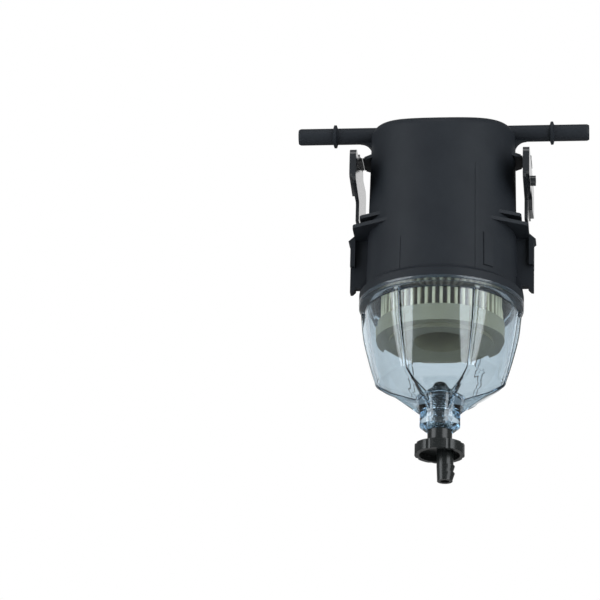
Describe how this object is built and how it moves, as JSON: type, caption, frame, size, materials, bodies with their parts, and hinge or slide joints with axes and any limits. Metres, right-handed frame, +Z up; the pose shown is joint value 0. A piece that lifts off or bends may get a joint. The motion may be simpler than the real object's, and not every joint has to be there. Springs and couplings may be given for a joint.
{
  "type": "fuel water separator",
  "caption": "In-line fuel water separator: dark moulded housing with side pipe ends and clip levers, clear ribbed water bowl, pleated element and twist drain valve.",
  "frame": {"origin": "on the drum's axis, in the plane of the lower ledges' undersides, where the unit seats on its bracket", "axes": "+Z up along the drum's axis away from the drain, +X along the pipes toward the outlet end, -Y toward the front"},
  "size_m": [0.166, 0.0924, 0.2172],
  "materials": {
    "dark_plastic": "fine semi-matt moulded",
    "clear_plastic": "clear, light blue tint",
    "filter_media": "fibrous sheet",
    "cap_plastic": "satin",
    "valve_plastic": "smooth moulded",
    "seal_rubber": "smooth"
  },
  "bodies": {
    "unit": {"housing": "dark_plastic", "bowl": "clear_plastic", "pleated_media": "filter_media", "upper_end_cap": "cap_plastic", "lower_end_cap": "cap_plastic", "centre_tube": "cap_plastic", "element_grommet": "seal_rubber"},
    "lever_left": {"release_lever_left": "dark_plastic"},
    "lever_right": {"release_lever_right": "dark_plastic"},
    "valve_seals": {"drain_o_ring_upper": "seal_rubber", "drain_o_ring_lower": "seal_rubber"},
    "valve": {"drain_valve": "valve_plastic"}
  },
  "joints": [
    {"name": "lever_left_press", "type": "hinge", "parent": "unit", "child": "lever_left", "pos_m": [-0.0455, 0, 0.0477], "axis": [0, -1, 0], "range_deg": [0, 5], "stiffness_Nm_per_rad": 3},
    {"name": "lever_right_press", "type": "hinge", "parent": "unit", "child": "lever_right", "pos_m": [0.0455, 0, 0.0477], "axis": [0, 1, 0], "range_deg": [0, 5], "stiffness_Nm_per_rad": 3},
    {"name": "drain_lift", "type": "slide", "parent": "unit", "child": "valve_seals", "axis": [0, 0, 1], "range_m": [0, 0.003]},
    {"name": "drain_turn", "type": "hinge", "parent": "valve_seals", "child": "valve", "pos_m": [0, 0, -0.125], "axis": [0, 0, 1], "range_deg": [0, 720]}
  ],
  "couplings": [
    {"joint": "drain_turn", "follows": "drain_lift", "rad_per_m": 4188.8}
  ]
}
